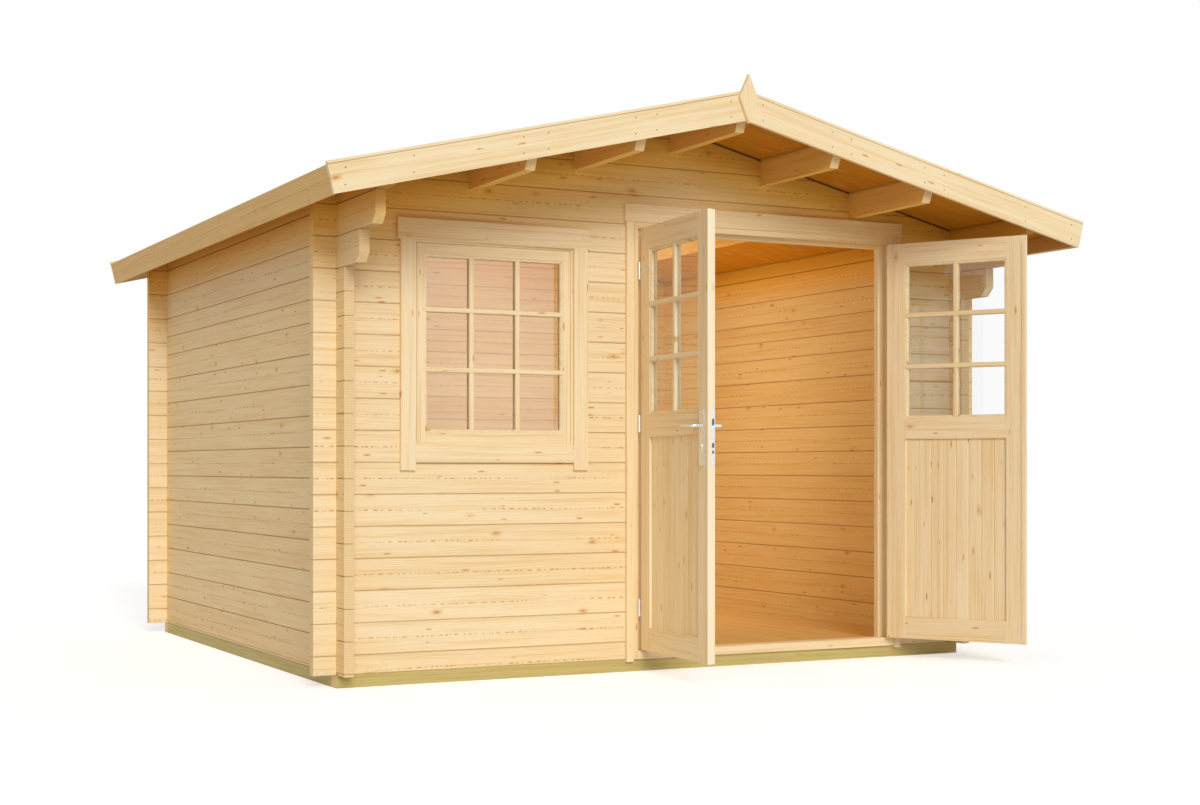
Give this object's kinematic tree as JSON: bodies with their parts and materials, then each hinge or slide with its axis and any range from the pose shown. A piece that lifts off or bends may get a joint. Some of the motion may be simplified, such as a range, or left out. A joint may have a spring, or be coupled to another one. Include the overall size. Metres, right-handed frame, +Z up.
{
  "type": "log cabin",
  "caption": "Small garden log cabin with crossed log corners, a pitched board roof over a front overhang, half-glazed double doors and a square window.",
  "frame": {"origin": "on the ground at the middle of the wall footprint, under the middle floor joist", "axes": "+X to the right along the front as seen from outside, +Y from the front to the back, +Z up"},
  "size_m": [3.748, 3.9263, 2.6014],
  "materials": {
    "log_spruce": "planed natural spruce",
    "board_spruce": "planed natural spruce boards",
    "joinery_spruce": "fine planed natural spruce",
    "treated_timber": "green-yellow preservative, sawn",
    "pane_glass": "clear, polished",
    "satin_steel": "satin"
  },
  "bodies": {
    "cabin": {"back_barge_boards": "joinery_spruce", "back_finial": "joinery_spruce", "back_gable_logs": "log_spruce", "back_wall_logs": "log_spruce", "door_casing": "joinery_spruce", "door_head": "joinery_spruce", "door_jambs": "joinery_spruce", "door_threshold": "joinery_spruce", "floor_deck": "board_spruce", "floor_joists": "treated_timber", "foundation_cross_beams": "treated_timber", "foundation_side_beams": "treated_timber", "front_barge_boards": "joinery_spruce", "front_finial": "joinery_spruce", "front_gable_logs": "log_spruce", "front_wall_left_logs": "log_spruce", "front_wall_right_logs": "log_spruce", "left_eave_log": "log_spruce", "left_fascia": "joinery_spruce", "left_jamb_hinges": "satin_steel", "left_purlins": "log_spruce", "left_roof_boards": "board_spruce", "left_wall_logs": "log_spruce", "ridge_purlin": "log_spruce", "right_eave_log": "log_spruce", "right_fascia": "joinery_spruce", "right_jamb_hinges": "satin_steel", "right_purlins": "log_spruce", "right_roof_boards": "board_spruce", "right_wall_logs": "log_spruce", "window_casing": "joinery_spruce", "window_frame": "joinery_spruce", "window_glass": "pane_glass", "window_sash": "joinery_spruce"},
    "left_door": {"left_door_frame": "joinery_spruce", "left_door_panel": "joinery_spruce", "left_door_glass": "pane_glass", "left_leaf_hinges": "satin_steel", "lock_plates": "satin_steel", "lock_faceplate": "satin_steel"},
    "lever": {"lever_handles": "satin_steel"},
    "right_door": {"right_door_frame": "joinery_spruce", "right_door_panel": "joinery_spruce", "right_door_glass": "pane_glass", "right_leaf_hinges": "satin_steel", "strike_plate": "satin_steel"}
  },
  "joints": [
    {"name": "left_door_swing", "type": "hinge", "parent": "cabin", "child": "left_door", "pos_m": [-0.192, -1.493, 1.0525], "axis": [0, 0, -1], "range_deg": [-95, 70]},
    {"name": "right_door_swing", "type": "hinge", "parent": "cabin", "child": "right_door", "pos_m": [1.2, -1.493, 1.0525], "axis": [0, 0, 1], "range_deg": [-120, 8]},
    {"name": "lever_turn", "type": "hinge", "parent": "left_door", "child": "lever", "pos_m": [-0.22197, -2.14537, 1.1], "axis": [-0.9962, 0.0872, 0], "range_deg": [0, 45], "stiffness_Nm_per_rad": 1, "springref_deg": -34.38}
  ]
}
